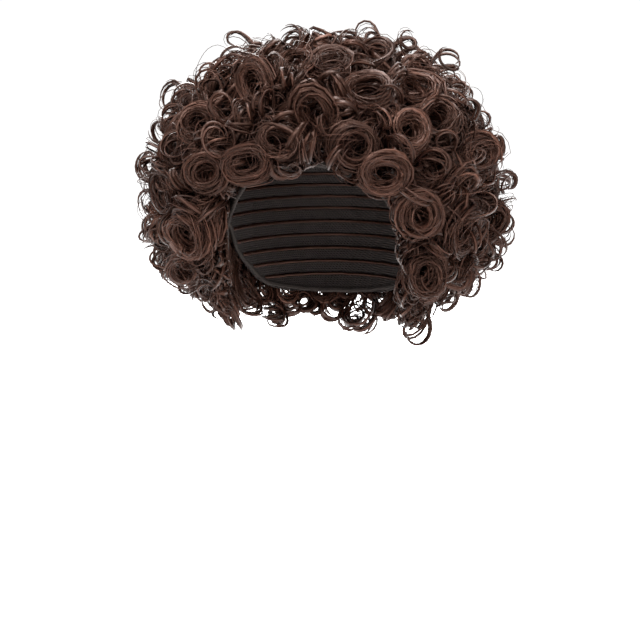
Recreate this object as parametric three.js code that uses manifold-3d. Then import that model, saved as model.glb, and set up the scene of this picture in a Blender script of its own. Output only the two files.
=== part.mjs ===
// Short curly wig: a thin hollow cap that carries six sections of curls.
// Millimetres, +Z up. The face looks along -Y, and +X is the wearer's left.
// The origin is the inside of the cap at the crown, where the wig sits on the head.
import * as THREE from "three";
import { ConvexGeometry } from "three/addons/geometries/ConvexGeometry.js";
import { mergeVertices } from "three/addons/utils/BufferGeometryUtils.js";
import Module from "manifold-3d";

const wasm = await Module();
wasm.setup();

// Driving dimensions: half axes of the head, of the hair at the foot of its curls, and of its core
const HEAD = { x: 76, y: 96, up: 100, down: 115, centre: [0, 0, -100] };
const HAIR = { x: 126, y: 122, up: 125, down: 107, centre: [0, 8, -89] };
const CORE = { x: 68, y: 80, up: 80, down: 92, centre: [0, 8, -89] };
const CAP_WALL = 1.5;
const GAP = 0.3; // between pieces
const FAT = 0.25; // how far a finished section keeps the next ones away
const FACETS = { around: 22, down: 14 };
const REACH = 300; // past every side of the wig, for the cutting solids

// Side view of the cap's edge, from the forehead round the ear to the nape
const CAP_EDGE = [
  { y: -130, z: -44 },
  { y: -90, z: -47 },
  { y: -72, z: -64 },
  { y: -57, z: -92 },
  { y: -47, z: -118 },
  { y: -33, z: -125 },
  { y: -20, z: -108 },
  { y: -3, z: -97 },
  { y: 15, z: -108 },
  { y: 30, z: -134 },
  { y: 52, z: -157 },
  { y: 78, z: -165 },
  { y: 130, z: -167 },
];

// Height of the hair's edge by azimuth from the face, the same on both sides
const HAIR_EDGE = [
  { azimuth: 0, z: -54 },
  { azimuth: 30, z: -56 },
  { azimuth: 38, z: -72 },
  { azimuth: 41, z: -110 },
  { azimuth: 45, z: -150 },
  { azimuth: 58, z: -176 },
  { azimuth: 110, z: -183 },
  { azimuth: 180, z: -184 },
];
const EDGE_ROUNDING = 22; // width over which the hair comes down to its edge
const EDGE_RADIUS = 118; // turns azimuths into distances round the hair

// Sections of hair in the order they are laid: the azimuths, from the face towards the wearer's left,
// and the heights that each may fill. A later section takes what the earlier ones leave.
const SECTIONS = [
  { node: "fringe_curls", from: -52, to: 52, low: -84, high: -8 },
  { node: "crown_curls", from: -180, to: 180, low: -26, high: 120 },
  { node: "left_side_curls", from: 15, to: 128, low: -260, high: -26 },
  { node: "right_side_curls", from: -128, to: -15, low: -260, high: -26 },
  { node: "back_curls", from: 128, to: 232, low: -118, high: -26 },
  { node: "nape_curls", from: 128, to: 232, low: -260, high: -118 },
];

// Curls that show from the front: place in the front view, outer radius, the way they wind,
// and whether a ringlet stands on them
const FRONT_CURLS = [
  { x: -13, z: 25, radius: 16, hand: -1, ringlet: false },
  { x: 14, z: 25, radius: 16, hand: 1, ringlet: true },
  { x: 43, z: 31, radius: 16, hand: -1, ringlet: false },
  { x: -77, z: 23, radius: 16, hand: 1, ringlet: false },
  { x: 90, z: 18, radius: 15, hand: -1, ringlet: false },
  { x: -41, z: 7, radius: 19, hand: 1, ringlet: true },
  { x: 41, z: 3, radius: 19, hand: -1, ringlet: true },
  { x: 74, z: 4, radius: 19, hand: 1, ringlet: true },
  { x: 7, z: -13, radius: 19, hand: -1, ringlet: false },
  { x: 91, z: -18, radius: 17, hand: -1, ringlet: false },
  { x: 112, z: -18, radius: 16, hand: 1, ringlet: false },
  { x: 74, z: -26, radius: 16, hand: 1, ringlet: true },
  { x: -82, z: -23, radius: 17, hand: 1, ringlet: true },
  { x: -17, z: -33, radius: 17, hand: 1, ringlet: true },
  { x: 37, z: -36, radius: 19, hand: -1, ringlet: true },
  { x: -106, z: -41, radius: 18, hand: -1, ringlet: false },
  { x: -2, z: -47, radius: 13, hand: -1, ringlet: false },
  { x: -41, z: -50, radius: 17, hand: -1, ringlet: true },
  { x: 58, z: -56, radius: 18, hand: 1, ringlet: true },
  { x: 120, z: -46, radius: 18, hand: -1, ringlet: false },
  { x: -73, z: -56, radius: 17, hand: 1, ringlet: false },
  { x: -112, z: -73, radius: 21, hand: 1, ringlet: true },
  { x: 84, z: -86, radius: 17, hand: -1, ringlet: true },
  { x: -89, z: -106, radius: 19, hand: -1, ringlet: true },
  { x: 113, z: -102, radius: 21, hand: 1, ringlet: true },
  { x: -97, z: -134, radius: 17, hand: 1, ringlet: true },
  { x: 87, z: -131, radius: 17, hand: -1, ringlet: true },
  { x: 114, z: -136, radius: 16, hand: 1, ringlet: false },
];

// Rows of curls that fill the rest: polar angles from the top, distance between curls in a row,
// and how near two curls may come, as a share of their radii
const CURL_ROWS = { first: 9, step: 14.5, count: 10, pitch: 31, crowding: 0.74 };

// One curl: the lock winds inwards as a ridge round a hollow
const CURL = {
  radius: [16, 20],
  drift: [-4, 4],
  height: 14,
  ridge: 0.46, // half width of the ridge, as a share of the radius
  outer: 0.64, // where the ridge starts and where it ends, as shares of the radius
  inner: 0.4,
  hollow: -0.5, // height of the middle, as a share of the ridge
  valley: -8, // lowest place between curls, from the foot
};

// How the hair is faceted: points along a curl's ridge and round its foot, and how far points keep apart
const POINTS = { ridge: 8, foot: 8, apart: 7, rest: 8 };

// Ringlets that stand clear of the rest: on every so many of the curls in rows, and their sizes
const RINGLET = {
  every: 6,
  facing: 0.7, // share by which the front ones turn to the front
  radius: 12.5,
  lock: 4.6,
  stand: 11, // above the foot of the curls
  root: 28,
  turns: 1.05,
  shrink: 0.3,
  rise: 7,
  tilt: [25, 85],
  sides: 4,
  stepsPerTurn: 7,
};

const HAIR_COLOUR = 0x3d2a25;
const CAP_COLOUR = 0x1d1513;

const radians = THREE.MathUtils.degToRad;
const between = ([low, high], share) => low + (high - low) * share;

// Evenly scattered shares from 0 to 1, a different set for each use
const SPREADS = {
  radius: 0.618034,
  tilt: 0.56984,
  lean: 0.819173,
  start: 0.856675,
  across: 0.550698,
  along: 0.733892,
};
const shareOf = (use, n) => ((n + 1) * SPREADS[use]) % 1;

// A closed geometry as a solid that can be joined and cut
function solidOf(geometry) {
  const bare = geometry.clone();
  bare.deleteAttribute("normal");
  bare.deleteAttribute("uv");
  const merged = mergeVertices(bare, 1e-4);
  const vertProperties = merged.attributes.position.array;
  const triVerts = new Uint32Array(merged.index.array);
  return new wasm.Manifold(new wasm.Mesh({ numProp: 3, vertProperties, triVerts }));
}

// A solid as a named mesh
function meshOf(solid, name, color, roughness) {
  const { vertProperties, triVerts } = solid.getMesh();
  const geometry = new THREE.BufferGeometry();
  geometry.setAttribute("position", new THREE.BufferAttribute(vertProperties, 3));
  geometry.setIndex(new THREE.BufferAttribute(triVerts, 1));
  geometry.computeVertexNormals();
  const mesh = new THREE.Mesh(geometry, new THREE.MeshStandardMaterial({ color, roughness, metalness: 0 }));
  mesh.name = name;
  return mesh;
}

// A point on a ball that has half axes of its own above and below its centre
function onForm(form, grow, polar, azimuth) {
  const height = (Math.cos(polar) > 0 ? form.up : form.down) + grow;
  return new THREE.Vector3(
    form.centre[0] + (form.x + grow) * Math.sin(polar) * Math.sin(azimuth),
    form.centre[1] - (form.y + grow) * Math.sin(polar) * Math.cos(azimuth),
    form.centre[2] + height * Math.cos(polar),
  );
}

// A unit ball with each point moved to where place(polar, azimuth) says
function warpedBall(ball, place) {
  const at = ball.attributes.position;
  for (let i = 0; i < at.count; i++) {
    const polar = Math.acos(THREE.MathUtils.clamp(at.getZ(i), -1, 1));
    const azimuth = Math.atan2(at.getX(i), -at.getY(i));
    at.setXYZ(i, ...place(polar, azimuth).toArray());
  }
  return solidOf(ball);
}

function formSolid(form, grow) {
  const ball = new THREE.SphereGeometry(1, FACETS.around, FACETS.down).rotateX(Math.PI / 2);
  return warpedBall(ball, (polar, azimuth) => onForm(form, grow, polar, azimuth));
}

// Everything below and in front of a side-view edge, right across the wig
function belowEdge(edge) {
  const first = edge[0];
  const last = edge[edge.length - 1];
  const shape = new THREE.Shape();
  shape.moveTo(first.y, first.z);
  shape.splineThru(edge.slice(1).map(({ y, z }) => new THREE.Vector2(y, z)));
  shape.lineTo(last.y, -REACH);
  shape.lineTo(first.y, -REACH);
  const block = new THREE.ExtrudeGeometry(shape, { depth: 2 * REACH, curveSegments: 2, bevelEnabled: false });
  block.translate(0, 0, -REACH);
  const [right, back, up] = [0, 1, 2].map((axis) => new THREE.Vector3().setComponent(axis, 1));
  block.applyMatrix4(new THREE.Matrix4().makeBasis(back, up, right));
  return solidOf(block);
}

// How full the hair is at a place: 0 off the hair, 1 well inside its edge
const edgeLine = HAIR_EDGE.map(({ azimuth, z }) => new THREE.Vector3(EDGE_RADIUS * radians(azimuth), z, 0));
function fullness(azimuth, z) {
  const place = new THREE.Vector3(EDGE_RADIUS * Math.abs(azimuth), z, 0);
  let nearest = Infinity;
  let above = false;
  for (let i = 1; i < edgeLine.length; i++) {
    const line = new THREE.Line3(edgeLine[i - 1], edgeLine[i]);
    const foot = line.closestPointToPoint(place, true, new THREE.Vector3());
    nearest = Math.min(nearest, foot.distanceTo(place));
    const along = (place.x - line.start.x) / (line.end.x - line.start.x);
    if (along >= 0 && along <= 1) above = z > THREE.MathUtils.lerp(line.start.y, line.end.y, along);
  }
  const inside = (above ? nearest : -nearest) / EDGE_ROUNDING;
  return Math.sin((Math.PI / 2) * THREE.MathUtils.clamp(0.45 + inside, 0, 1));
}

// Polar angle and azimuth of the front curls, from their places in the front view
function frontPlaces() {
  return FRONT_CURLS.map(({ x, z, ...curl }) => {
    const [cx, , cz] = HAIR.centre;
    const polar = Math.acos((z - cz) / ((z > cz ? HAIR.up : HAIR.down) + CURL.height / 2));
    const across = (x - cx) / (HAIR.x + CURL.height / 2) / Math.sin(polar);
    return { ...curl, polar, azimuth: Math.asin(THREE.MathUtils.clamp(across, -1, 1)), front: true };
  });
}

// Polar angle and azimuth of the curls in rows right round the head
function rowPlaces() {
  return Array.from({ length: CURL_ROWS.count }, (_, row) => {
    const polar = radians(CURL_ROWS.first + row * CURL_ROWS.step);
    const count = Math.round((2 * Math.PI * HAIR.x * Math.sin(polar)) / CURL_ROWS.pitch);
    return Array.from({ length: count }, (_, i) => ({
      polar,
      azimuth: (2 * Math.PI * (i + (row % 2) / 2)) / count - Math.PI,
      hand: (i + row) % 2 ? 1 : -1,
      ringlet: (i + row) % RINGLET.every === 0,
      front: false,
    }));
  }).flat();
}

// A curl's place, directions and sizes on the hair
function curlAt({ polar, azimuth, radius, hand, ringlet, front }, n) {
  const centre = onForm(HAIR, 0, polar, azimuth);
  const outward = centre.clone().sub(new THREE.Vector3(...HAIR.centre)).normalize();
  const across = new THREE.Vector3(Math.cos(azimuth), Math.sin(azimuth), 0);
  const down = new THREE.Vector3().crossVectors(across, outward).normalize();
  if (!front) {
    centre.addScaledVector(across, between(CURL.drift, shareOf("across", n)));
    centre.addScaledVector(down, between(CURL.drift, shareOf("along", n)));
  }
  return {
    n,
    azimuth,
    centre,
    outward,
    across,
    down,
    hand,
    ringlet,
    front,
    radius: radius ?? between(CURL.radius, shareOf("radius", n)),
    start: shareOf("start", n),
  };
}

// Height of the curls over a place on the hair: a ridge that winds in round each curl's hollow
function relief(place, curls) {
  let height = CURL.valley;
  for (const curl of curls) {
    const from = place.clone().sub(curl.centre);
    const out = from.length() / curl.radius;
    if (out > 1.1) continue;
    const angle = Math.atan2(from.dot(curl.down), from.dot(curl.across)) / (2 * Math.PI);
    const turn = (((curl.hand * angle - curl.start) % 1) + 1) % 1;
    const crest = THREE.MathUtils.lerp(CURL.outer, CURL.inner, turn);
    const ridge = 1 - ((out - crest) / CURL.ridge) ** 2;
    const rise = out < crest ? Math.max(ridge, CURL.hollow) : ridge;
    height = Math.max(height, CURL.height * rise);
  }
  return height;
}

// The curls that lie on the hair and don't crowd an earlier one
function curlsOnHair() {
  const kept = [];
  for (const curl of [...frontPlaces(), ...rowPlaces()].map(curlAt)) {
    const crowds = (other) =>
      curl.centre.distanceTo(other.centre) < CURL_ROWS.crowding * (curl.radius + other.radius);
    if (fullness(curl.azimuth, curl.centre.z) > 0.5 && !kept.some(crowds)) kept.push(curl);
  }
  return kept;
}

// A place on the hair, right or left and down of a curl's middle
const besideCurl = (curl, out, angle) =>
  curl.centre
    .clone()
    .addScaledVector(curl.across, curl.radius * out * Math.cos(angle))
    .addScaledVector(curl.down, curl.radius * out * Math.sin(angle));

// Unit directions that catch every curl's middle, ridge and foot, with a coarse net over the rest
function hairDirections(curls) {
  const places = curls.map(({ centre }) => centre);
  const keep = (place, apart) => {
    if (places.every((other) => other.distanceTo(place) > apart)) places.push(place);
  };
  const open = (place, reach) => curls.every((curl) => curl.centre.distanceTo(place) > reach * curl.radius);
  for (const curl of curls) {
    for (let i = 0; i < POINTS.ridge; i++) {
      const turn = i / POINTS.ridge;
      const out = THREE.MathUtils.lerp(CURL.outer, CURL.inner, turn);
      keep(besideCurl(curl, out, curl.hand * 2 * Math.PI * (turn + curl.start)), POINTS.apart / 2);
    }
  }
  for (const curl of curls) {
    for (let i = 0; i < POINTS.foot; i++) {
      const place = besideCurl(curl, 1, (2 * Math.PI * i) / POINTS.foot);
      if (open(place, 0.9)) keep(place, POINTS.apart);
    }
  }
  const [cx, cy, cz] = HAIR.centre;
  const directions = places.map(({ x, y, z }) => {
    const height = z > cz ? HAIR.up : HAIR.down;
    return new THREE.Vector3((x - cx) / HAIR.x, (y - cy) / HAIR.y, (z - cz) / height).normalize();
  });
  const net = new THREE.IcosahedronGeometry(1, POINTS.rest).attributes.position;
  for (let i = 0; i < net.count; i++) {
    const direction = new THREE.Vector3().fromBufferAttribute(net, i);
    const near = (other) => other.distanceTo(direction) * HAIR.x < 2 * POINTS.apart;
    if (!directions.some(near)) directions.push(direction);
  }
  return directions;
}

// The hair as one closed form that sinks into the head beyond its edge, larger by grow
function hairForm(curls, directions, grow) {
  return warpedBall(new ConvexGeometry(directions), (polar, azimuth) => {
    const foot = onForm(HAIR, 0, polar, azimuth);
    const core = onForm(CORE, 0, polar, azimuth);
    const top = onForm(HAIR, relief(foot, curls) + grow, polar, azimuth);
    return core.lerp(top, fullness(azimuth, foot.z));
  });
}

// The room that a section may fill, taken in by inset on every cut side
function sectionRoom({ from, to, low, high }, inset) {
  const depth = high - low - 2 * inset;
  if (to - from >= 360) {
    return solidOf(new THREE.BoxGeometry(2 * REACH, 2 * REACH, depth).translate(0, 0, (low + high) / 2));
  }
  const half = radians((to - from) / 2);
  const middle = radians((from + to) / 2);
  const towards = (azimuth) => new THREE.Vector2(Math.sin(azimuth), -Math.cos(azimuth));
  const apex = towards(middle).multiplyScalar(inset / Math.sin(half));
  const rim = [-1, 0, 1].map((side) => towards(middle + side * half).multiplyScalar(REACH).add(apex));
  const wedge = new THREE.ExtrudeGeometry(new THREE.Shape([apex, ...rim]), { depth, bevelEnabled: false });
  return solidOf(wedge.translate(0, 0, low + inset));
}

// The first section whose room holds a curl's azimuth and height
function sectionOf({ azimuth, centre }) {
  const turned = THREE.MathUtils.radToDeg(azimuth);
  const holds = ({ from, to, low, high }) =>
    centre.z > low && centre.z <= high && [-360, 0, 360].some((turn) => turned + turn >= from && turned + turn < to);
  return SECTIONS.find(holds);
}

// A lock that rises from the hair and winds into a standing ring, thicker by grow
function ringletSolid(curl, grow) {
  const lean = 2 * Math.PI * shareOf("lean", curl.n);
  const tilt = radians(between(RINGLET.tilt, shareOf("tilt", curl.n)));
  const axis = curl.outward.clone().multiplyScalar(Math.cos(tilt));
  axis.addScaledVector(curl.across, Math.sin(tilt) * Math.cos(lean));
  axis.addScaledVector(curl.down, Math.sin(tilt) * Math.sin(lean));
  if (curl.front) axis.copy(curl.outward).lerp(new THREE.Vector3(0, -1, 0), RINGLET.facing).normalize();
  const side = new THREE.Vector3().crossVectors(axis, curl.outward).normalize();
  const rising = new THREE.Vector3().crossVectors(side, axis);
  const centre = curl.centre.clone().addScaledVector(curl.outward, RINGLET.stand);
  const steps = Math.round(RINGLET.stepsPerTurn * RINGLET.turns);
  const winding = Array.from({ length: steps + 1 }, (_, i) => {
    const along = i / steps;
    const angle = 2 * Math.PI * RINGLET.turns * along;
    const radius = RINGLET.radius * (1 - RINGLET.shrink * along);
    return centre
      .clone()
      .addScaledVector(axis, RINGLET.rise * (along - 0.5))
      .addScaledVector(side, curl.hand * radius * Math.cos(angle))
      .addScaledVector(rising, radius * Math.sin(angle));
  });
  const root = winding[0].clone().addScaledVector(curl.outward, -RINGLET.root);
  const corners = Array.from({ length: RINGLET.sides }, (_, i) => {
    const angle = (2 * Math.PI * i) / RINGLET.sides;
    return new THREE.Vector2(Math.cos(angle), Math.sin(angle)).multiplyScalar(RINGLET.lock + grow);
  });
  const extrudePath = new THREE.CatmullRomCurve3([root, ...winding]);
  return solidOf(new THREE.ExtrudeGeometry(new THREE.Shape(corners), { steps: steps + 1, extrudePath }));
}

const union = (solids) => solids.reduce((joined, solid) => joined.add(solid));
const largestBody = (solid) => solid.decompose().reduce((a, b) => (a.volume() > b.volume() ? a : b));

const wig = new THREE.Group();

// The cap follows the head, and is cut off along its edge
const cap = formSolid(HEAD, CAP_WALL).subtract(formSolid(HEAD, 0)).subtract(belowEdge(CAP_EDGE));
wig.add(meshOf(cap, "cap", CAP_COLOUR, 0.9));

// Each section is its share of the hair with its ringlets, clear of the cap and of earlier sections
const worn = formSolid(HEAD, CAP_WALL + GAP);
const curls = curlsOnHair();
const directions = hairDirections(curls);
const ringlets = curls.filter(({ ringlet }) => ringlet);
const hair = hairForm(curls, directions, 0);
const fatHair = hairForm(curls, directions, FAT);

let taken = worn;
for (const section of SECTIONS) {
  const own = ringlets.filter((curl) => sectionOf(curl) === section);
  const share = hair.intersect(sectionRoom(section, GAP / 2));
  const piece = union([share, ...own.map((curl) => ringletSolid(curl, 0))]).subtract(taken);
  wig.add(meshOf(largestBody(piece), section.node, HAIR_COLOUR, 0.45));
  const fatShare = fatHair.intersect(sectionRoom(section, GAP / 2 - FAT));
  taken = union([taken, fatShare, ...own.map((curl) => ringletSolid(curl, FAT))]);
}

export default wig;
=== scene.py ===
# Short curly wig: strands of hair wound into curls on a hollow cap, over a pale floor.
# The curls lie where the solid sections of hair have theirs, so the same tables stand here.
# Sizes and places are in millimetres, and angles in tables in degrees, unless a comment says otherwise.
import math

import bpy
import numpy as np
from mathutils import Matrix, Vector
from mathutils.bvhtree import BVHTree


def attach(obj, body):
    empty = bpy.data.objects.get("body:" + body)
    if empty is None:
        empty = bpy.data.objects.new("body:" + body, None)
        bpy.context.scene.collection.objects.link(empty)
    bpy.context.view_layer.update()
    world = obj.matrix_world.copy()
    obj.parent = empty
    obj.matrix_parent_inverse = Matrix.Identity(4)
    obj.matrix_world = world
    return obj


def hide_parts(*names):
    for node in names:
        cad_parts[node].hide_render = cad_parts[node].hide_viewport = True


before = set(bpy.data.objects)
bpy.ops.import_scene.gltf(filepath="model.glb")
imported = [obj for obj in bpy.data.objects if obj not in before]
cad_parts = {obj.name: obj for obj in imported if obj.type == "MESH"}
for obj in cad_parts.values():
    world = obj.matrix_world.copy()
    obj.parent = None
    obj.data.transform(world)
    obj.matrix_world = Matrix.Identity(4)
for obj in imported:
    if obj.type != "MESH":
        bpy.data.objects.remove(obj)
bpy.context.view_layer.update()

MM = 0.001
SEED = 71
TINY = 1e-9
GOLDEN_TURN = math.pi * (1 + 5**0.5)

# Half axes of the head, of the hair at the foot of its curls, and of its core
HEAD = {"x": 76, "y": 96, "up": 100, "down": 115, "centre": (0, 0, -100)}
HAIR = {"x": 126, "y": 122, "up": 125, "down": 107, "centre": (0, 8, -89)}
CORE = {"x": 68, "y": 80, "up": 80, "down": 92, "centre": (0, 8, -89)}

# Height of the hair's edge by azimuth from the face, the width over which the hair fills out there, the
# share of that width which lies outside the edge, and the radius at which azimuths are taken as lengths
HAIR_EDGE = {
    "azimuth": (0, 30, 38, 41, 45, 58, 110, 180),
    "z": (-54, -56, -72, -110, -150, -176, -183, -184),
    "rounding": 22,
    "outside": 0.45,
    "radius": 118,
}

# Height of the cap's edge from front to back, and the thickness of the cap
CAP_EDGE = {
    "y": (-130, -90, -72, -57, -47, -33, -20, -3, 15, 30, 52, 78, 130),
    "z": (-44, -47, -64, -92, -118, -125, -108, -97, -108, -134, -157, -165, -167),
}
CAP_WALL = 1.5

# Sections of hair: node, azimuths from the face towards the wearer's left, and heights
SECTIONS = (
    {"node": "fringe_curls", "from": -52, "to": 52, "low": -84, "high": -8},
    {"node": "crown_curls", "from": -180, "to": 180.1, "low": -26, "high": 120},
    {"node": "left_side_curls", "from": 15, "to": 128, "low": -260, "high": -26},
    {"node": "right_side_curls", "from": -128, "to": -15, "low": -260, "high": -26},
    {"node": "back_curls", "from": 128, "to": 232, "low": -118, "high": -26},
    {"node": "nape_curls", "from": 128, "to": 232, "low": -260, "high": -118},
)
SIDE_HALVES = math.radians(84)  # the azimuth that parts the front of a side from its rear

# Curls that show from the front: x and z in the front view, outer radius, the way they wind
FRONT_CURLS = (
    (-13, 25, 16, -1),
    (14, 25, 16, 1),
    (43, 31, 16, -1),
    (-77, 23, 16, 1),
    (90, 18, 15, -1),
    (-41, 7, 19, 1),
    (41, 3, 19, -1),
    (74, 4, 19, 1),
    (7, -13, 19, -1),
    (91, -18, 17, -1),
    (112, -18, 16, 1),
    (74, -26, 16, 1),
    (-82, -23, 17, 1),
    (-17, -33, 17, 1),
    (37, -36, 19, -1),
    (-106, -41, 18, -1),
    (-2, -42, 13, -1),
    (-41, -50, 17, -1),
    (58, -56, 18, 1),
    (120, -46, 18, -1),
    (-73, -56, 17, 1),
    (-112, -73, 21, 1),
    (84, -86, 17, -1),
    (-89, -106, 19, -1),
    (113, -102, 21, 1),
    (-97, -134, 17, 1),
    (87, -131, 17, -1),
    (114, -136, 16, 1),
)

# The other curls: rows right round the head, shifted and sized by steady spreads, where the hair is full
# enough and no earlier curl crowds them
CURL_ROWS = {"first": 9, "step": 14.5, "count": 10, "pitch": 31, "radius": (16, 20), "drift": (-4, 4)}
CURL_HEIGHT = 14
CURL_CROWDING = 0.74
CURL_FULLNESS = 0.5
SPREADS = {"radius": 0.618034, "across": 0.550698, "along": 0.733892}

# Kinds of lock: how far the ring lies above the foot of the curls, the ring's size as a share of the
# curl and the range of its radii, the length of its barrel, its turns, its tilt from the outward
# direction, how far it turns to the front, how many flat wisps and round strands it has, the points on
# each, how far these stray, and how light it is. Filler and under locks, which lie deeper, are kept
# darker: painted shade between and under the curls.
LOCKS = {
    "front": {
        "lift": 6, "size": 0.86, "ring": (0.62, 1.1), "barrel": 12, "turns": (1.1, 1.6), "tilt": (5, 45),
        "facing": 0.4, "wisps": 16, "strands": 30, "points": 21, "stray": 0.8, "tone": (0.1, 1),
    },
    "row": {
        "lift": 3, "size": 0.84, "ring": (0.62, 1.1), "barrel": 14, "turns": (1.1, 1.7), "tilt": (5, 66),
        "facing": 0, "wisps": 12, "strands": 13, "points": 19, "stray": 0.8, "tone": (0.1, 1),
    },
    # Darker tones than the curls: painted shade in the gaps between them
    "filler": {
        "lift": -2, "size": 0.8, "ring": (0.6, 1.08), "barrel": 12, "turns": (0.9, 1.4), "tilt": (25, 85),
        "facing": 0, "wisps": 6, "strands": 7, "points": 17, "stray": 1.15, "tone": (0, 0.6),
    },
    # Darker tones than the curls: painted shade under them
    "under": {
        "lift": -9, "size": 0.85, "ring": (0.55, 1.08), "barrel": 8, "turns": (0.8, 1.3), "tilt": (20, 80),
        "facing": 0, "wisps": 5, "strands": 0, "points": 14, "stray": 1.2, "tone": (0.1, 0.5),
    },
    "edge": {
        "lift": 0, "size": 1, "ring": (0.55, 1.08), "barrel": 6, "turns": (0.9, 1.4), "tilt": (30, 90),
        "facing": 0, "wisps": 5, "strands": 4, "points": 16, "stray": 1, "tone": (0, 0.6),
    },
    "loop": {
        "lift": 7, "size": 1, "ring": (0.86, 1.1), "barrel": 5, "turns": (0.95, 1.35), "tilt": (50, 100),
        "facing": 0, "wisps": 3, "strands": 2, "points": 24, "stray": 0.4, "tone": (0, 0.7),
    },
    "free": {
        "lift": 0, "size": 1, "ring": (0.92, 1.06), "barrel": 7, "turns": (1.1, 1.3), "tilt": (5, 40),
        "facing": 0.58, "wisps": 4, "strands": 4, "points": 22, "stray": 0.32, "tone": (0, 0.3),
    },
    "flyaway": {
        "lift": 9, "size": 1, "ring": (0.8, 1.1), "barrel": 4, "turns": (0.7, 1.2), "tilt": (60, 100),
        "facing": 0, "wisps": 0, "strands": 2, "points": 24, "stray": 0.4, "tone": (0.3, 1),
    },
}
MOST_OVAL = 0.24  # how far a ring is from round at most
FACE_DIRECTION = np.array([0, -1, 0])

# Locks near the lower edge lie closer to the head: where that starts and ends, how much closer, how much
# narrower they are, and how much their rings turn to face outward. The same on top of the head.
TAPER = {"from": -128, "to": -178, "closer": 17, "narrower": 0.25, "flatter": 1.6}
TOP = {"from": 5, "to": 36, "closer": 6, "flatter": 0.8}

# How far off the head's middle hair is sewn on and a lock's middle lies at least, with 1 on the head
ROOT_REACH = 1.06
LEAST_REACH = 1.14

# How far above the cap's edge hair is sewn on, and the rounds in which that place is found
ROOT_ABOVE_EDGE = 5
ROOT_ROUNDS = 3

# Locks spread over the hair: how many places are tried, how full the hair is there, how far they keep
# off the middles of the curls, in radii of the curl, and off each other, and their own radii
SPREAD = {
    "filler": {"tried": 2400, "fullness": 0.75, "off_curls": 0.82, "apart": 19, "radius": (12, 18)},
    "under": {"tried": 210, "fullness": 0.6, "off_curls": 0, "apart": 0, "radius": (12, 18)},
    "loop": {"tried": 380, "fullness": 0.75, "off_curls": 0.7, "apart": 0, "radius": (8, 13)},
    "flyaway": {"tried": 150, "fullness": 0.75, "off_curls": 0.25, "apart": 0, "radius": (8, 14)},
}

# Locks that line the edge of the hair beside the face: their azimuths, how far they lie apart, inside
# the edge and out from the head, as a share of the hair's depth, their radii, and the steps in which the
# edge is measured
EDGE_LOCKS = {
    "from": 34, "to": 66, "apart": 13, "inset": 5, "depths": (0.35, 0.68), "radius": (8, 12), "steps": 400,
}

# Loops that stand clear of the outline: middle and radius
FREE_LOOPS = (
    (74, -20, -181, 14),
    (97, -15, -160, 9),
    (112, -12, -146, 10),
    (126, -5, -128, 9),
    (136, -5, -108, 10),
    (141, -5, -68, 7),
    (132, 0, -42, 7),
    (93, 10, 22, 9),
    (62, 8, 36, 8),
    (33, 8, 37, 11),
    (-24, 8, 36, 11),
    (-66, 10, 34, 10),
    (-117, 5, -8, 12),
    (-127, 5, -34, 9),
    (-137, 0, -60, 10),
    (-133, -10, -88, 12),
    (-124, -5, -126, 10),
    (-109, -12, -137, 19),
    (-106, -10, -150, 9),
    (-84, -15, -163, 9),
)

# How hair winds round a lock's axis
WIND = {
    "outer": 0.7,  # a power that brings most hair to the outside of its ring
    "opens": 0.26,  # the share of its way on which the ring opens
    "opening": 0.7,  # the power of that
    "closes": 0.45,  # the share of its way after which the ring closes a little
    "closed": 0.4,  # how much it closes at most
    "closing": 1.3,  # the power of that
    "waves": (1, 2.5),  # the waves on its way
    "uneven": 0.5,  # how far it strays from the ring throughout
    "wavy": 0.8,  # how far it strays from the ring in waves
    "lean": 0.22,  # the slope of its own ring
    "depth": (-4, 4),  # how far along the axis its ring lies
    "barrel": (0.6, 1.3),  # the share of the barrel that it climbs
    "depth_wave": 0.6,  # how far it waves along the axis
    "aside": 1.4,  # how far its ring lies aside
    "drift": 1.6,  # how far it drifts aside on its way
    "rising": 4,  # the power with which it leaves the cap
    "slant": (0.2, 1.3),  # how its width slants from the axis, in radians
    "slant_wave": 0.35,  # how far that slant waves
}
OFF_AXIS = (0.31, 0.21, 0.93)  # a direction that no lock's axis has
MOST_REACH = 1.45  # how far off a lock's middle its hair lies at most, in radii of the lock

# How far the neatest and the loosest wisps and strands stray, a power that keeps most of them neat, and the
# limit in standard deviations
LOOSENESS = {"wisp": (0.45, 1.5), "strand": (0.7, 3.1)}
NEATNESS = 2
MOST_STRAY = 1.4

# Half widths and half thicknesses of wisps and strands, how these change along them, and the shares of
# the lock's tone and of a tone of their own
WISP = {"width": (1.2, 3.6), "thickness": 0.5}
THIN_WISP = {"width": (1.2, 2.6), "thickness": 0.5}
LOOP_WISP = {"width": (1.2, 2.0), "thickness": 0.9}
WISP_SIZES = {"loop": LOOP_WISP, "free": LOOP_WISP, "edge": THIN_WISP, "under": THIN_WISP}
WISP_WIDTH = {"along": (0, 0.15, 0.5, 0.8, 1), "share": (0.5, 1, 1, 0.62, 0.07)}
WISP_THICKNESS = {"along": (0, 0.7, 1), "share": (1, 1, 0.4)}
WISP_TONE = {"lock": 0.6, "own": 0.3}
STRAND = {"width": (0.22, 0.38)}
FLYAWAY_STRAND = {"width": (0.16, 0.26)}
STRAND_WIDTH = {"along": (0, 0.7, 1), "share": (1, 1, 0.45)}
STRAND_TONE = {"lock": 0.5, "own": 0.6}
HAIR_SIDES = 3

# Each tube has a patch of the map to itself, in one of a few rows
MAP_ROWS = 8
MAP_MARGIN = 0.02

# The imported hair: its points around and down, how far it lies from the foot of the curls and inside
# their edge, the height over which it thins out at the cap's edge, how far off the head it starts and
# how thick it is at least, as shares of the way from the head's middle, and the polar angle in radians
# that it leaves open on top
BASE = {
    "around": 84, "down": 54, "sink": -15, "inset": 10, "hem": 16,
    "clearance": 0.04, "least": 0.03, "pole": 0.02,
}

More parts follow.
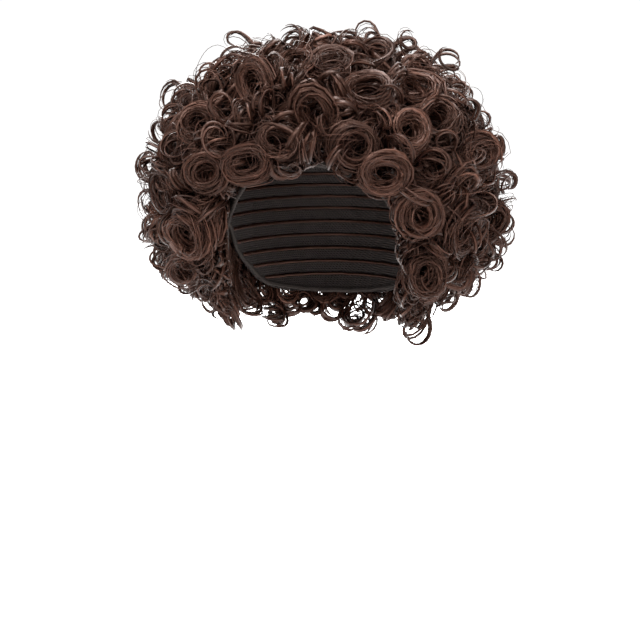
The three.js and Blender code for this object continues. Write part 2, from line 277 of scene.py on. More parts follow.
# Rows of hair sewn inside the cap: polar angles, half sizes, how far they end from the cap's edge, how
# long the shortest is, and their tone. The band that binds the cap's edge: half sizes, and how far up
# its middle lies. Both are measured in the same number of steps.
ROWS = {
    "first": 14, "step": 5.4, "count": 21, "width": 1.5, "thickness": 0.9, "points": 48, "sides": 4,
    "clear": 5, "shortest": 14, "tone": 0.25,
}
BINDING = {"width": 2.7, "thickness": 1.5, "above": 1.7, "points": 150, "sides": 6}
CAP_SAMPLES = 721
SMALL_ANGLE = 0.01  # in radians

# Looks: tones by place on a ramp, strength and depth in metres of the bump, roughness, gloss and its tint.
# Hair adds the scale of its streaks across, along and from tube to tube, their detail and contrast, and how
# much a tube's own tone and the way to its tip count. The rise in tone towards the tip is partly the fibres'
# own lighter ends and partly painted shade that darkens the roots deep in the curls.
HAIR_LOOK = {
    "tones": (
        (0.0, (0.0046, 0.0018, 0.0011)),
        (0.35, (0.0084, 0.0031, 0.0019)),
        (0.7, (0.0200, 0.0077, 0.0050)),
        (1.0, (0.0620, 0.0287, 0.0200)),
    ),
    "bump": 0.6, "relief": 0.0006, "roughness": 0.4, "gloss": 0.2, "tint": (1.0, 0.6, 0.48),
    "streaks": (3.6, 1.4, 60.0), "detail": 3.5, "own": 0.6, "contrast": 3.2, "tip": 0.15,
}
# Packed hair adds the scale and reach of its waves, how long its fibres are drawn, and their scale.
# Its tones are darker than the curls': the hair's own brown deepened into painted shade where it shows
# in the gaps between the curls.
BASE_LOOK = {
    "tones": ((0.35, (0.003, 0.0012, 0.0008)), (0.7, (0.020, 0.0075, 0.005))),
    "bump": 0.8, "relief": 0.001, "roughness": 0.6, "gloss": 0.2, "tint": (1.0, 0.66, 0.54),
    "waves": 45, "waviness": 0.05, "length": 0.1, "fibres": 420, "detail": 3,
}
# Cloth adds the direction and scale of its two sets of threads, and how uneven they are
LACE_LOOK = {
    "tones": ((0.0, (0.004, 0.0025, 0.002)), (0.45, (0.011, 0.007, 0.006)), (1.0, (0.016, 0.010, 0.008))),
    "bump": 0.7, "relief": 0.0006, "roughness": 0.8, "gloss": 0.2, "tint": (1, 1, 1),
    "threads": (("DIAGONAL", 240), ("Z", 190)), "uneven": 1.2,
}
BAND_LOOK = {
    "tones": ((0.0, (0.006, 0.004, 0.003)), (1.0, (0.018, 0.011, 0.009))),
    "bump": 0.7, "relief": 0.0004, "roughness": 0.8, "gloss": 0.2, "tint": (1, 1, 1),
    "threads": (("DIAGONAL", 300), ("Z", 260)), "uneven": 1.2,
}
NOISE_MIDDLE = 0.5

# The studio, in metres and watts
FLOOR = {"z": -0.407, "half": 6, "colour": (0.98, 0.98, 0.98, 1), "roughness": 0.8}
SKY = {"colour": (1, 1, 1, 1), "strength": 1.04}
LIGHTS = (
    {"name": "key", "from": (-0.6, -1.4, 1.3), "size": 0.8, "watts": 118},
    {"name": "fill", "from": (1.3, -1.3, 0.6), "size": 0.9, "watts": 55},
    {"name": "top", "from": (0.1, 0.2, 1.6), "size": 0.8, "watts": 82},
    {"name": "back", "from": (-0.5, 1.5, 0.7), "size": 0.9, "watts": 68},
)
CAMERA = {"azimuth": 8, "elevation": 5.5, "distance": 1.5, "frame_width": 0.486}
IMAGE = 640
WIG_PIXEL = (325, 205)  # where the wig's middle lies in the photograph
WIG_MIDDLE = Vector(HAIR["centre"]) * MM

rng = np.random.default_rng(SEED)


def share_of(use, n):
    return ((n + 1) * SPREADS[use]) % 1


def between(ends, share):
    return ends[0] + (ends[1] - ends[0]) * share


def unit(vectors):
    vectors = np.asarray(vectors, float)
    return vectors / np.maximum(np.linalg.norm(vectors, axis=-1, keepdims=True), TINY)


def random_hand():
    return rng.choice((-1, 1))


# Forms of the head and the hair


def on_form(form, grow, polar, azimuth):
    """Points on a ball that has half axes of its own above and below its centre."""
    polar, azimuth, grow = np.broadcast_arrays(np.asarray(polar, float), azimuth, grow)
    height = np.where(np.cos(polar) > 0, form["up"], form["down"]) + grow
    return np.stack(
        [
            form["centre"][0] + (form["x"] + grow) * np.sin(polar) * np.sin(azimuth),
            form["centre"][1] - (form["y"] + grow) * np.sin(polar) * np.cos(azimuth),
            form["centre"][2] + height * np.cos(polar),
        ],
        axis=-1,
    )


def head_reach(points):
    """How far points lie from the head's middle, where 1 is on the head."""
    away = points - np.array(HEAD["centre"])
    height = np.where(away[..., 2] > 0, HEAD["up"], HEAD["down"])
    across, deep = away[..., 0] / HEAD["x"], away[..., 1] / HEAD["y"]
    return np.sqrt(across**2 + deep**2 + (away[..., 2] / height) ** 2)


def on_the_head(points, reach):
    """Points moved along the line to the head's middle until they lie a given way off it."""
    middle = np.array(HEAD["centre"])
    return middle + (points - middle) * (reach / np.maximum(head_reach(points), TINY))[..., None]


def above_cap_edge(points):
    """How far points lie above the cap's edge in the side view."""
    return points[..., 2] - np.interp(points[..., 1], CAP_EDGE["y"], CAP_EDGE["z"])


def fullness(azimuth, z, inset=0):
    """How full the hair is at places: 0 off the hair, 1 well inside its edge or a line inset from it."""
    across = HAIR_EDGE["radius"] * np.abs(np.asarray(azimuth, float))
    z = np.asarray(z, float)
    line = np.stack([HAIR_EDGE["radius"] * np.radians(HAIR_EDGE["azimuth"]), HAIR_EDGE["z"]], axis=-1)
    nearest = np.full(np.broadcast(across, z).shape, np.inf)
    for start, end in zip(line, line[1:]):
        span = end - start
        along = ((across - start[0]) * span[0] + (z - start[1]) * span[1]) / (span @ span)
        along = np.clip(along, 0, 1)
        away = np.hypot(across - start[0] - along * span[0], z - start[1] - along * span[1])
        nearest = np.minimum(nearest, away)
    above = z > np.interp(across, line[:, 0], line[:, 1])
    inside = (np.where(above, nearest, -nearest) - inset) / HAIR_EDGE["rounding"]
    return np.sin(np.pi / 2 * np.clip(HAIR_EDGE["outside"] + inside, 0, 1))


def section_of(azimuth, z):
    """The first section whose room holds an azimuth and a height."""
    turned = math.degrees(azimuth)
    for section in SECTIONS:
        inside = any(section["from"] <= turned + turn < section["to"] for turn in (-360, 0, 360))
        if inside and section["low"] < z <= section["high"]:
            return section["node"]
    return "nape_curls"


def directions_at(centre, azimuth):
    """Outward, across and down directions at a place on the hair."""
    outward = unit(centre - np.array(HAIR["centre"]))
    across = np.array([math.cos(azimuth), math.sin(azimuth), 0])
    return outward, across, unit(np.cross(across, outward))


# Places of the curls and the locks


def front_places():
    """Polar angle, azimuth, radius and hand of the curls that show from the front."""
    top = HAIR["centre"][2]
    places = []
    for x, z, radius, hand in FRONT_CURLS:
        height = (HAIR["up"] if z > top else HAIR["down"]) + CURL_HEIGHT / 2
        polar = math.acos((z - top) / height)
        across = x / (HAIR["x"] + CURL_HEIGHT / 2) / math.sin(polar)
        places.append((polar, math.asin(max(-1, min(1, across))), radius, hand))
    return places


def row_places():
    """Polar angle, azimuth, no radius yet and hand of the curls in rows."""
    places = []
    for row in range(CURL_ROWS["count"]):
        polar = math.radians(CURL_ROWS["first"] + row * CURL_ROWS["step"])
        count = math.floor(2 * math.pi * HAIR["x"] * math.sin(polar) / CURL_ROWS["pitch"] + 0.5)
        for i in range(count):
            azimuth = 2 * math.pi * (i + (row % 2) / 2) / count - math.pi
            places.append((polar, azimuth, None, 1 if (i + row) % 2 else -1))
    return places


def curl_places():
    """The curls of the solid sections: front ones first, then rows that don't crowd them."""
    kept = []
    for n, (polar, azimuth, radius, hand) in enumerate(front_places() + row_places()):
        centre = on_form(HAIR, 0, polar, azimuth)
        front = radius is not None
        if not front:
            _, across, down = directions_at(centre, azimuth)
            centre = centre + across * between(CURL_ROWS["drift"], share_of("across", n))
            centre = centre + down * between(CURL_ROWS["drift"], share_of("along", n))
            radius = between(CURL_ROWS["radius"], share_of("radius", n))
        crowded = any(
            np.linalg.norm(centre - curl["centre"]) < CURL_CROWDING * (radius + curl["radius"])
            for curl in kept
        )
        if fullness(azimuth, centre[2]) > CURL_FULLNESS and not crowded:
            curl = {"centre": centre, "azimuth": azimuth, "radius": radius, "hand": hand}
            kept.append({**curl, "kind": "front" if front else "row"})
    return kept


def lock_at(kind, centre, azimuth, radius, hand):
    """One lock of hair: its ring's middle, axis and sizes."""
    made = LOCKS[kind]
    outward, across, down = directions_at(centre, azimuth)
    tilt = math.radians(rng.uniform(*made["tilt"]))
    lean = rng.uniform(0, 2 * math.pi)
    axis = outward * math.cos(tilt) + math.sin(tilt) * (across * math.cos(lean) + down * math.sin(lean))
    axis = unit(axis * (1 - made["facing"]) + FACE_DIRECTION * made["facing"])
    low = np.clip((centre[2] - TAPER["from"]) / (TAPER["to"] - TAPER["from"]), 0, 1)
    high = np.clip((centre[2] - TOP["from"]) / (TOP["to"] - TOP["from"]), 0, 1)
    lift = made["lift"]
    if kind not in ("edge", "free"):
        lift = lift - TAPER["closer"] * low - TOP["closer"] * high
    if kind != "free":
        axis = unit(axis + outward * (TAPER["flatter"] * low + TOP["flatter"] * high))
    middle = centre + outward * lift
    return {
        "kind": kind,
        "node": section_of(azimuth, centre[2]),
        "azimuth": azimuth,
        "centre": on_the_head(middle, np.maximum(head_reach(middle), LEAST_REACH)),
        "axis": axis,
        "radius": radius * made["size"] * (1 - TAPER["narrower"] * low),
        "hand": hand,
        "tone": rng.uniform(*made["tone"]),
        "oval": rng.uniform(0, MOST_OVAL),
        "oval_turn": rng.uniform(0, 2 * math.pi),
    }


def spread_places(spread, curls):
    """Places on the hair, clear of the curls' middles and of each other, with their azimuths."""
    n = np.arange(spread["tried"]) + 0.5
    polar = np.arccos(1 - 2 * n / spread["tried"])
    azimuth = (GOLDEN_TURN * n) % (2 * np.pi) - np.pi
    centres = on_form(HAIR, 0, polar, azimuth)
    full = fullness(azimuth, centres[:, 2]) > spread["fullness"]
    middles = np.array([curl["centre"] for curl in curls])
    radii = np.array([curl["radius"] for curl in curls])
    away = np.linalg.norm(centres[:, None] - middles[None], axis=-1) / radii
    kept = []
    for i in np.flatnonzero(full & (away.min(axis=1) > spread["off_curls"])):
        if all(np.linalg.norm(centres[i] - centres[k]) > spread["apart"] for k in kept):
            kept.append(i)
    return [(centres[i], azimuth[i]) for i in kept]


def spread_locks(kind, curls):
    spread = SPREAD[kind]
    return [
        lock_at(kind, centre, azimuth, rng.uniform(*spread["radius"]), random_hand())
        for centre, azimuth in spread_places(spread, curls)
    ]


def edge_places():
    """Places along the edge of the hair beside the face, between the head and the foot of the curls."""
    turned = np.linspace(EDGE_LOCKS["from"], EDGE_LOCKS["to"], EDGE_LOCKS["steps"])
    low = np.interp(turned, HAIR_EDGE["azimuth"], HAIR_EDGE["z"])
    way = np.hypot(np.diff(np.radians(turned) * HAIR_EDGE["radius"]), np.diff(low))
    way = np.concatenate([[0], np.cumsum(way)])
    places = []
    for row, depth in enumerate(EDGE_LOCKS["depths"]):
        for at in np.arange(row * EDGE_LOCKS["apart"] / 2, way[-1], EDGE_LOCKS["apart"]):
            azimuth = math.radians(np.interp(at, way, turned)) + EDGE_LOCKS["inset"] / HAIR_EDGE["radius"]
            z = np.interp(at, way, low) + EDGE_LOCKS["inset"]
            height = HAIR["up"] if z > HAIR["centre"][2] else HAIR["down"]
            polar = math.acos((z - HAIR["centre"][2]) / height)
            for side in (-1, 1):
                foot = on_form(HAIR, 0, polar, side * azimuth)
                skin = on_the_head(foot, ROOT_REACH)
                places.append((skin + (foot - skin) * depth, side * azimuth))
    return places


def edge_locks():
    return [
        lock_at("edge", centre, azimuth, rng.uniform(*EDGE_LOCKS["radius"]), random_hand())
        for centre, azimuth in edge_places()
    ]


def free_locks():
    locks = []
    for *centre, radius in FREE_LOOPS:
        azimuth = math.atan2(centre[0], HAIR["centre"][1] - centre[1])
        locks.append(lock_at("free", np.array(centre), azimuth, radius, random_hand()))
    return locks


def curl_locks(curls):
    return [
        lock_at(curl["kind"], curl["centre"], curl["azimuth"], curl["radius"], curl["hand"])
        for curl in curls
    ]


def all_locks():
    curls = curl_places()
    locks = curl_locks(curls)
    locks += spread_locks("filler", curls)
    locks += spread_locks("under", curls)
    locks += edge_locks()
    locks += spread_locks("loop", curls)
    locks += free_locks()
    locks += spread_locks("flyaway", curls)
    return locks


# Hair wound round a lock


def root_of(centre):
    """Where a lock is sewn to the cap: under its ring, or at the cap's edge if the cap ends above that."""
    root = on_the_head(centre, ROOT_REACH)
    for _ in range(ROOT_ROUNDS):
        root[2] = max(root[2], np.interp(root[1], CAP_EDGE["y"], CAP_EDGE["z"]) + ROOT_ABOVE_EDGE)
        root = on_the_head(root, ROOT_REACH)
    return root


def wound_paths(lock, count, looseness):
    """Paths that rise from the cap and wind round a lock's axis, with the way across each path."""
    made = LOCKS[lock["kind"]]
    axis, centre = lock["axis"], lock["centre"]
    side = unit(np.cross(axis, OFF_AXIS))
    rising = np.cross(axis, side)
    along = np.linspace(0, 1, made["points"])[None, :]

    def each(low, high):
        return rng.uniform(low, high, (count, 1))

    loose = made["stray"] * between(looseness, rng.random((count, 1)) ** NEATNESS)

    def strayed(spread):
        return spread * np.clip(rng.normal(0, 1, (count, 1)), -MOST_STRAY, MOST_STRAY) * loose

    def wave(spread):
        return strayed(spread) * np.sin(2 * np.pi * (along * each(*WIND["waves"]) + each(0, 1)))

    def aside(direction):
        return (strayed(WIND["aside"]) * opening + strayed(WIND["drift"]) * along)[..., None] * direction

    ring = lock["radius"] * between(made["ring"], rng.random((count, 1)) ** WIND["outer"])
    angle = each(0, 2 * np.pi) + lock["hand"] * 2 * np.pi * each(*made["turns"]) * along
    opening = np.minimum(1, (along / WIND["opens"]) ** WIND["opening"])
    late = np.clip((along - WIND["closes"]) / (1 - WIND["closes"]), 0, 1)
    closing = 1 - each(0, WIND["closed"]) * late ** WIND["closing"]
    oval = 1 + lock["oval"] * np.sin(2 * angle + lock["oval_turn"])
    radius = ring * opening * closing * oval + opening * (strayed(WIND["uneven"]) + wave(WIND["wavy"]))
    slope = strayed(WIND["lean"]) * np.cos(angle) + strayed(WIND["lean"]) * np.sin(angle)
    depth = opening * each(*WIND["depth"]) + slope * radius
    depth = depth - made["barrel"] * each(*WIND["barrel"]) * (1 - along) + wave(WIND["depth_wave"])
    radial = np.cos(angle)[..., None] * side + np.sin(angle)[..., None] * rising
    away = aside(side) + aside(rising) + depth[..., None] * axis + radius[..., None] * radial
    reach = np.linalg.norm(away, axis=-1, keepdims=True) / lock["radius"]
    paths = centre + away * np.minimum(1, MOST_REACH / reach)
    root = centre - root_of(centre) - made["barrel"] * axis
    paths = paths - ((1 - along) ** WIND["rising"])[..., None] * root
    low = head_reach(paths) < ROOT_REACH
    paths = np.where(low[..., None], on_the_head(paths, ROOT_REACH), paths)
    slant = (each(*WIND["slant"]) + wave(WIND["slant_wave"]))[..., None]
    return paths, axis * np.cos(slant) + radial * np.sin(slant)


def tubes(paths, wide, half_width, half_thickness, tones, sides=HAIR_SIDES):
    """Closed tubes along paths as arrays of corners, faces, map places and fibre places."""
    count, points = paths.shape[:2]
    along = np.linspace(0, 1, points)
    tangent = unit(np.gradient(paths, axis=1))
    wide = unit(wide - (wide * tangent).sum(-1, keepdims=True) * tangent)
    normal = np.cross(tangent, wide)
    turns = 2 * np.pi * np.arange(sides) / sides
    corners = [
        paths
        + (half_width * math.cos(turn))[..., None] * wide
        + (half_thickness * math.sin(turn))[..., None] * normal
        for turn in turns
    ]
    verts = np.stack(corners, axis=2).reshape(-1, 3)

    first = (np.arange(count) * points * sides)[:, None, None]
    ring = (np.arange(points - 1) * sides)[None, :, None]
    here = np.arange(sides)[None, None, :]
    there = (here + 1) % sides
    low = first + ring
    quads = np.stack([low + here, low + there, low + sides + there, low + sides + here], axis=-1)
    first = first[:, 0]
    roots = first + here[0, :, ::-1]
    tips = first + (points - 1) * sides + here[0]

    shape = (count, points - 1, sides)
    tube = np.broadcast_to(np.arange(count)[:, None, None], shape)
    left = np.broadcast_to(here / sides, shape)
    right = np.broadcast_to((here + 1) / sides, shape)
    below = np.broadcast_to(along[None, :-1, None], shape)
    above = np.broadcast_to(along[None, 1:, None], shape)
    corners = [(left, below), (right, below), (right, above), (left, above)]
    quad_places = np.stack([np.stack([tube, *corner], axis=-1) for corner in corners], axis=-2)
    end = np.repeat(np.arange(count), sides)
    half = np.full(len(end), 0.5)
    root_places = np.stack([end, half, np.zeros(len(end))], axis=-1)
    tip_places = np.stack([end, half, np.ones(len(end))], axis=-1)

    fibre = np.empty((count, points, sides, 3))
    fibre[..., 0] = np.cos(turns)
    fibre[..., 1] = along[None, :, None]
    fibre[..., 2] = tones[:, None, None]
    return {
        "verts": verts,
        "faces": [quads.reshape(-1, 4), roots, tips],
        "places": [quad_places.reshape(-1, 3), root_places, tip_places],
        "count": count,
        "fibre": fibre.reshape(-1, 3),
    }


def share_along(points, shape):
    return np.interp(np.linspace(0, 1, points)[None, :], shape["along"], shape["share"])


def wisp_tubes(lock, count):
    """Flat wisps of fibres lying side by side."""
    points = LOCKS[lock["kind"]]["points"]
    size = WISP_SIZES.get(lock["kind"], WISP)
    paths, wide = wound_paths(lock, count, LOOSENESS["wisp"])
    half = rng.uniform(*size["width"], (count, 1)) * share_along(points, WISP_WIDTH)
    thin = size["thickness"] * share_along(points, WISP_THICKNESS) * np.ones((count, 1))
    tones = lock["tone"] * WISP_TONE["lock"] + WISP_TONE["own"] * rng.random(count)
    return tubes(paths, wide, half, thin, tones)


def strand_tubes(lock, count):
    """Single round strands that stray a little from the wisps."""
    points = LOCKS[lock["kind"]]["points"]
    size = FLYAWAY_STRAND if lock["kind"] == "flyaway" else STRAND
    paths, wide = wound_paths(lock, count, LOOSENESS["strand"])
    half = rng.uniform(*size["width"], (count, 1)) * share_along(points, STRAND_WIDTH)
    tones = lock["tone"] * STRAND_TONE["lock"] + STRAND_TONE["own"] * rng.random(count)
    return tubes(paths, wide, half, half, tones)


# Trim of the cap


def on_the_cap(points, depth):
    """Points moved along the line to the head's middle to the inside of the cap, and out by a depth."""
    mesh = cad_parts["cap"].data
    wall = BVHTree.FromPolygons([v.co / MM for v in mesh.vertices], [p.vertices for p in mesh.polygons])
    middle = np.array(HEAD["centre"], float)
    towards = unit(points - middle)
    hits = [wall.ray_cast(Vector(middle), Vector(way))[3] for way in towards.reshape(-1, 3)]
    hits = np.array(hits, float)
    met = np.flatnonzero(np.isfinite(hits))
    hits = np.interp(np.arange(len(hits)), met, hits[met])
    return middle + towards * (hits.reshape(*points.shape[:-1], 1) + depth)


def sewn_runs():
    """Polar angle, first and last azimuth of the rows, broken where the cap is cut for face and ears."""
    around = np.linspace(0, 2 * np.pi, CAP_SAMPLES)
    runs = []
    for row in range(ROWS["count"]):
        polar = math.radians(ROWS["first"] + row * ROWS["step"])
        sewn = above_cap_edge(on_form(HEAD, 0, polar, around)) > ROWS["clear"]
        ends = np.flatnonzero(np.diff(np.concatenate([[0], sewn, [0]])))
        for first, last in zip(ends[::2], ends[1::2] - 1):
            if (around[last] - around[first]) * HEAD["x"] * math.sin(polar) > ROWS["shortest"]:
                runs.append((polar, around[first], around[last]))
    return np.array(runs)


def sewn_rows():
    """The rows of hair sewn inside the cap."""
    runs = sewn_runs()
    polar, first, last = runs.T[..., None]
    azimuth = between((first, last), np.linspace(0, 1, ROWS["points"]))
    line = on_form(HEAD, 0, polar, azimuth)
    down = on_form(HEAD, 0, polar + SMALL_ANGLE, azimuth) - line
    size = np.ones(azimuth.shape)
    width, thickness = ROWS["width"] * size, ROWS["thickness"] * size
    tones = np.full(len(runs), ROWS["tone"])
    return tubes(on_the_cap(line, 0), down, width, thickness, tones, ROWS["sides"])


def cap_edge_line(count):
    """Even points on the head along the cap's edge, from the forehead right round to it again."""
    azimuth = np.linspace(0, 2 * np.pi, CAP_SAMPLES)
    polar = np.linspace(0, np.pi, CAP_SAMPLES)
    above = above_cap_edge(on_form(HEAD, 0, polar[:, None], azimuth))
    under = (above < 0).argmax(axis=0)
    here = np.arange(CAP_SAMPLES)
    share = above[under - 1, here] / (above[under - 1, here] - above[under, here])
    line = on_form(HEAD, 0, between((polar[under - 1], polar[under]), share), azimuth)
    way = np.concatenate([[0], np.cumsum(np.linalg.norm(np.diff(line, axis=0), axis=-1))])
    even = np.linspace(0, way[-1], count)
    return np.stack([np.interp(even, way, line[:, i]) for i in range(3)], axis=-1)


def edge_binding():
    """The band that binds the cap's edge."""
    line = cap_edge_line(BINDING["points"])
    half_axes = np.array([HEAD["x"], HEAD["y"], HEAD["up"]])
    outward = unit((line - np.array(HEAD["centre"])) / half_axes**2)
    up = unit(np.cross(outward, np.gradient(line, axis=0)))
    up = up * np.sign(up[:, 2:])
    paths = on_the_cap(line + up * BINDING["above"], CAP_WALL / 2)[None]
    size = np.ones((1, BINDING["points"]))
    width, thickness = BINDING["width"] * size, BINDING["thickness"] * size
    return tubes(paths, up[None], width, thickness, np.zeros(1), BINDING["sides"])


# Pieces


def new_object(name, data):
    made = bpy.data.objects.new(name, data)
    bpy.context.scene.collection.objects.link(made)
    return made


def on_the_map(places, first, count):
    """Places on the map of the tubes, counted from the first."""
    tube = places[:, 0] + first
    across = (tube // MAP_ROWS + places[:, 1]) / math.ceil(count / MAP_ROWS)
    along = (tube % MAP_ROWS + between((MAP_MARGIN, 1 - MAP_MARGIN), places[:, 2])) / MAP_ROWS
    return np.stack([across, along], axis=-1)


def joined_mesh(name, groups):
    """One mesh of many groups of tubes."""
    count = sum(group["count"] for group in groups)
    verts, loops, sizes, places, fibre = [], [], [], [], []
    corner, tube = 0, 0
    for group in groups:
        verts.append(group["verts"])
        fibre.append(group["fibre"])
        for faces, spots in zip(group["faces"], group["places"]):
            loops.append((faces + corner).ravel())
            sizes.append(np.full(len(faces), faces.shape[1]))
            places.append(on_the_map(spots, tube, count))
        corner += len(group["verts"])
        tube += group["count"]
    verts, loops, sizes = np.concatenate(verts) * MM, np.concatenate(loops), np.concatenate(sizes)

    mesh = bpy.data.meshes.new(name)
    mesh.vertices.add(len(verts))
    mesh.vertices.foreach_set("co", verts.astype(np.float32).ravel())
    mesh.loops.add(len(loops))
    mesh.loops.foreach_set("vertex_index", loops.astype(np.int32))
    mesh.polygons.add(len(sizes))
    mesh.polygons.foreach_set("loop_start", (np.cumsum(sizes) - sizes).astype(np.int32))
    mesh.update(calc_edges=True)
    mesh.polygons.foreach_set("use_smooth", np.ones(len(sizes), bool))
    layer = mesh.uv_layers.new(name="OFBake")
    layer.data.foreach_set("uv", np.concatenate(places).astype(np.float32).ravel())
    attribute = mesh.attributes.new("fibre", "FLOAT_VECTOR", "POINT")
    attribute.data.foreach_set("vector", np.concatenate(fibre).astype(np.float32).ravel())
    return new_object(name, mesh)


def base_skins():
    """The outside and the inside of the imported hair, and where there is room for it between them."""
    polar = np.linspace(BASE["pole"], np.pi - BASE["pole"], BASE["down"])[:, None]
    azimuth = np.linspace(-np.pi, np.pi, BASE["around"], endpoint=False)[None, :]
    foot = on_form(HAIR, 0, polar, azimuth)
    full = fullness(azimuth, foot[..., 2], BASE["inset"])
    hem = above_cap_edge(on_the_head(foot, 1))
    full = full * np.sin(np.pi / 2 * np.clip(hem / BASE["hem"], 0, 1))
    core = on_form(CORE, 0, polar, azimuth)
    outer = core + (on_form(HAIR, BASE["sink"], polar, azimuth) - core) * full[..., None]
    middle = np.array(HEAD["centre"])
    reach = head_reach(outer)
    least = 1 + BASE["clearance"]
    inner = middle + (outer - middle) * (least / reach)[..., None]
    return outer, inner, reach > least + BASE["least"]


def packed_hair():
    """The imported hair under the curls: a closed shell from just off the cap to a little under the curls."""
    outer, inner, shown = base_skins()
    size = shown.size
    index = np.arange(size).reshape(shown.shape)
    beside = np.roll(index, -1, 1)
    quads = np.stack([index[:-1], index[1:], beside[1:], beside[:-1]], axis=-1).reshape(-1, 4)
    quads = quads[shown.ravel()[quads].all(axis=1)]
    edges = np.concatenate([quads[:, [i, (i + 1) % 4]] for i in range(4)])
    known = {tuple(edge) for edge in edges.tolist()}
    rim = np.array([(a, b) for a, b in edges.tolist() if (b, a) not in known])
    walls = np.stack([rim[:, 1], rim[:, 0], rim[:, 0] + size, rim[:, 1] + size], axis=-1)
    faces = np.concatenate([quads, quads[:, ::-1] + size, walls])
    used, faces = np.unique(faces, return_inverse=True)
    verts = np.concatenate([outer.reshape(-1, 3), inner.reshape(-1, 3)])[used] * MM
    mesh = bpy.data.meshes.new("packed_hair")
    mesh.from_pydata(verts.tolist(), [], faces.reshape(-1, 4).tolist())
    mesh.polygons.foreach_set("use_smooth", np.ones(len(mesh.polygons), bool))
    mesh.update()
    return new_object("packed_hair", mesh)


# Materials


def new_material(name):
    material = bpy.data.materials.new(name)
    material.use_nodes = True
    tree = material.node_tree
    return material, tree, tree.nodes["Principled BSDF"]


def ramp_node(tree, stops):
    ramp = tree.nodes.new("ShaderNodeValToRGB")
    while len(ramp.color_ramp.elements) < len(stops):
        ramp.color_ramp.elements.new(0.5)
    for element, (place, colour) in zip(ramp.color_ramp.elements, stops):
        element.position = place
        element.color = (*colour, 1)
    return ramp


def math_node(tree, operation, first, second):
    node = tree.nodes.new("ShaderNodeMath")
    node.operation = operation
    for socket, value in zip(node.inputs, (first, second)):
        if isinstance(value, (int, float)):
            socket.default_value = value
        else:
            tree.links.new(value, socket)
    return node.outputs[0]


def vector_node(tree, operation, vector, factor):
    node = tree.nodes.new("ShaderNodeVectorMath")
    node.operation = operation
    node.inputs[1].default_value = factor
    tree.links.new(vector, node.inputs[0])
    return node


def noise_node(tree, vector, scale, detail):
    noise = tree.nodes.new("ShaderNodeTexNoise")
    noise.inputs["Scale"].default_value = scale
    noise.inputs["Detail"].default_value = detail
    tree.links.new(vector, noise.inputs["Vector"])
    return noise


def set_look(tree, shader, look, tone, height):
    """Gives a shader its tones by a value, its bump by a height, and its gloss."""
    ramp = ramp_node(tree, look["tones"])
    bump = tree.nodes.new("ShaderNodeBump")
    bump.inputs["Strength"].default_value = look["bump"]
    bump.inputs["Distance"].default_value = look["relief"]
    tree.links.new(tone, ramp.inputs["Fac"])
    tree.links.new(ramp.outputs["Color"], shader.inputs["Base Color"])
    tree.links.new(height, bump.inputs["Height"])
    tree.links.new(bump.outputs["Normal"], shader.inputs["Normal"])
    shader.inputs["Roughness"].default_value = look["roughness"]
    shader.inputs["Specular IOR Level"].default_value = look["gloss"]
    shader.inputs["Specular Tint"].default_value = (*look["tint"], 1)


def hair_material(look):
    """Dark brown fibre: each wisp has a tone of its own, and lighter and darker fibres run along it."""
    material, tree, shader = new_material("curled_fibre")
    fibre = tree.nodes.new("ShaderNodeAttribute")
    fibre.attribute_name = "fibre"
    stretch = vector_node(tree, "MULTIPLY", fibre.outputs["Vector"], look["streaks"])
    streaks = noise_node(tree, stretch.outputs[0], 1, look["detail"]).outputs["Fac"]
    split = tree.nodes.new("ShaderNodeSeparateXYZ")
    tree.links.new(fibre.outputs["Vector"], split.inputs[0])
    own = math_node(tree, "MULTIPLY", split.outputs["Z"], look["own"])
    streak = math_node(tree, "SUBTRACT", streaks, NOISE_MIDDLE)
    streak = math_node(tree, "MULTIPLY", streak, look["contrast"])
    # Lighter towards the tip: partly the fibres' own lighter ends, partly painted shade on the roots deep in
    # the curls
    length = math_node(tree, "MULTIPLY", split.outputs["Y"], look["tip"])
    tone = math_node(tree, "ADD", math_node(tree, "ADD", own, streak), length)
    set_look(tree, shader, look, tone, streaks)
    return material


def base_material(look):
    """Hair packed under the curls: fibres that run down the head and wave a little, darkened as painted
    shade.
    """
    material, tree, shader = new_material("packed_fibre_painted_shade")
    place = tree.nodes.new("ShaderNodeTexCoord").outputs["Object"]
    waves = tree.nodes.new("ShaderNodeTexNoise")
    waves.inputs["Scale"].default_value = look["waves"]
    tree.links.new(place, waves.inputs["Vector"])
    waved = vector_node(tree, "MULTIPLY_ADD", waves.outputs["Color"], (look["waviness"],) * 3)
    tree.links.new(place, waved.inputs[2])
    drawn = vector_node(tree, "MULTIPLY", waved.outputs[0], (1, 1, look["length"]))
    fibres = noise_node(tree, drawn.outputs[0], look["fibres"], look["detail"]).outputs["Fac"]
    set_look(tree, shader, look, fibres, fibres)
    return material


def cloth_material(name, look):
    """Dark cloth with a fine weave of two sets of threads."""
    material, tree, shader = new_material(name)
    place = tree.nodes.new("ShaderNodeTexCoord").outputs["Object"]

    def threads(direction, scale):
        bands = tree.nodes.new("ShaderNodeTexWave")
        bands.bands_direction = direction
        bands.inputs["Scale"].default_value = scale
        bands.inputs["Distortion"].default_value = look["uneven"]
        tree.links.new(place, bands.inputs["Vector"])
        return bands.outputs["Fac"]

    across, level = look["threads"]
    weave = math_node(tree, "MULTIPLY", threads(*across), threads(*level))
    set_look(tree, shader, look, weave, weave)
    return material


# The wig


def piece_name(lock):
    """The piece that a lock belongs to: its section, with the large sections in halves."""
    name = lock["node"].replace("curls", "locks")
    if lock["node"] == "crown_curls":
        return name + ("_left" if lock["azimuth"] > 0 else "_right")
    if "side" in name:
        return name + ("_front" if abs(lock["azimuth"]) < SIDE_HALVES else "_rear")
    return name


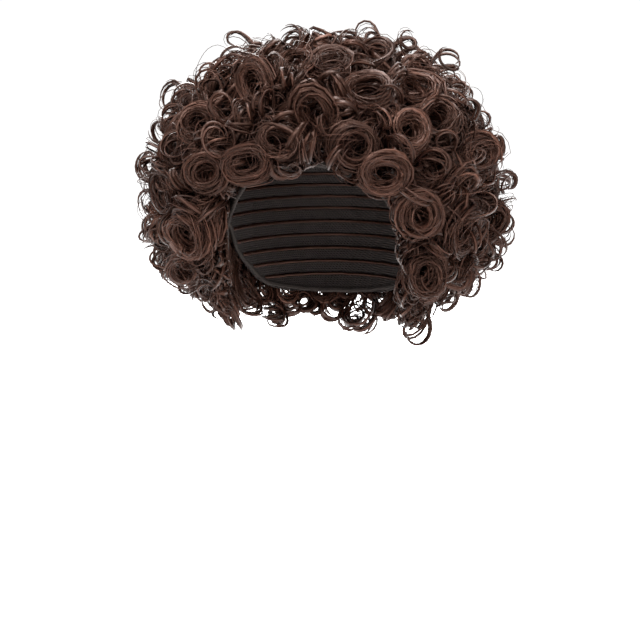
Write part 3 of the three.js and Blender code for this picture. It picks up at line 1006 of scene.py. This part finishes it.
hair = hair_material(HAIR_LOOK)
groups = {}
for lock in all_locks():
    made = LOCKS[lock["kind"]]
    room = groups.setdefault((lock["node"], piece_name(lock)), [])
    if made["wisps"]:
        room.append(wisp_tubes(lock, made["wisps"]))
    if made["strands"]:
        room.append(strand_tubes(lock, made["strands"]))
for (node, name), room in groups.items():
    piece = joined_mesh(name, room)
    piece.data.materials.append(hair)
    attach(piece, "root")
    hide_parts(node)

base = packed_hair()
base.data.materials.append(base_material(BASE_LOOK))
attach(base, "root")
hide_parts(*[section["node"] for section in SECTIONS])

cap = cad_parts["cap"]
cap.data.materials.clear()
cap.data.materials.append(cloth_material("stretch_lace", LACE_LOOK))

rows = joined_mesh("cap_rows", [sewn_rows()])
rows.data.materials.append(hair)
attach(rows, "root")

binding = joined_mesh("cap_binding", [edge_binding()])
binding.data.materials.append(cloth_material("edge_band", BAND_LOOK))
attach(binding, "root")


# Floor, light and camera


def pale_floor():
    half, z = FLOOR["half"], FLOOR["z"]
    corners = [(-half, -half, z), (half, -half, z), (half, half, z), (-half, half, z)]
    mesh = bpy.data.meshes.new("floor")
    mesh.from_pydata(corners, [], [(0, 1, 2, 3)])
    material, _, shader = new_material("pale_floor")
    shader.inputs["Base Color"].default_value = FLOOR["colour"]
    shader.inputs["Roughness"].default_value = FLOOR["roughness"]
    mesh.materials.append(material)
    return new_object("floor", mesh)


def towards_turn(place, aim):
    """The turn of a lamp or camera at a place that looks at an aim."""
    return (aim - place).to_track_quat("-Z", "Y").to_euler()


def light_the_studio():
    world = bpy.data.worlds.new("studio")
    world.use_nodes = True
    world.node_tree.nodes["Background"].inputs["Color"].default_value = SKY["colour"]
    world.node_tree.nodes["Background"].inputs["Strength"].default_value = SKY["strength"]
    bpy.context.scene.world = world
    bpy.context.scene.view_settings.view_transform = "Standard"
    for made in LIGHTS:
        data = bpy.data.lights.new(made["name"], "AREA")
        data.size = made["size"]
        data.energy = made["watts"]
        lamp = new_object(made["name"], data)
        lamp.location = made["from"]
        lamp.rotation_euler = towards_turn(lamp.location, WIG_MIDDLE)


def photograph_camera():
    """A camera at the photograph's angle, with the wig's middle where the photograph has it."""
    azimuth, elevation = math.radians(CAMERA["azimuth"]), math.radians(CAMERA["elevation"])
    level = math.cos(elevation)
    towards = Vector((math.sin(azimuth) * level, -math.cos(azimuth) * level, math.sin(elevation)))
    right = Vector((math.cos(azimuth), math.sin(azimuth), 0))
    up = right.cross(-towards)
    pixel = CAMERA["frame_width"] / IMAGE
    aside, above = WIG_PIXEL[0] - IMAGE / 2, IMAGE / 2 - WIG_PIXEL[1]
    data = bpy.data.cameras.new("camera")
    data.lens = data.sensor_width * CAMERA["distance"] / CAMERA["frame_width"]
    camera = new_object("camera", data)
    camera.location = WIG_MIDDLE + towards * CAMERA["distance"]
    aim = WIG_MIDDLE - right * (aside * pixel) - up * (above * pixel)
    camera.rotation_euler = towards_turn(camera.location, aim)
    return camera


floor = pale_floor()
light_the_studio()
bpy.context.scene.camera = photograph_camera()
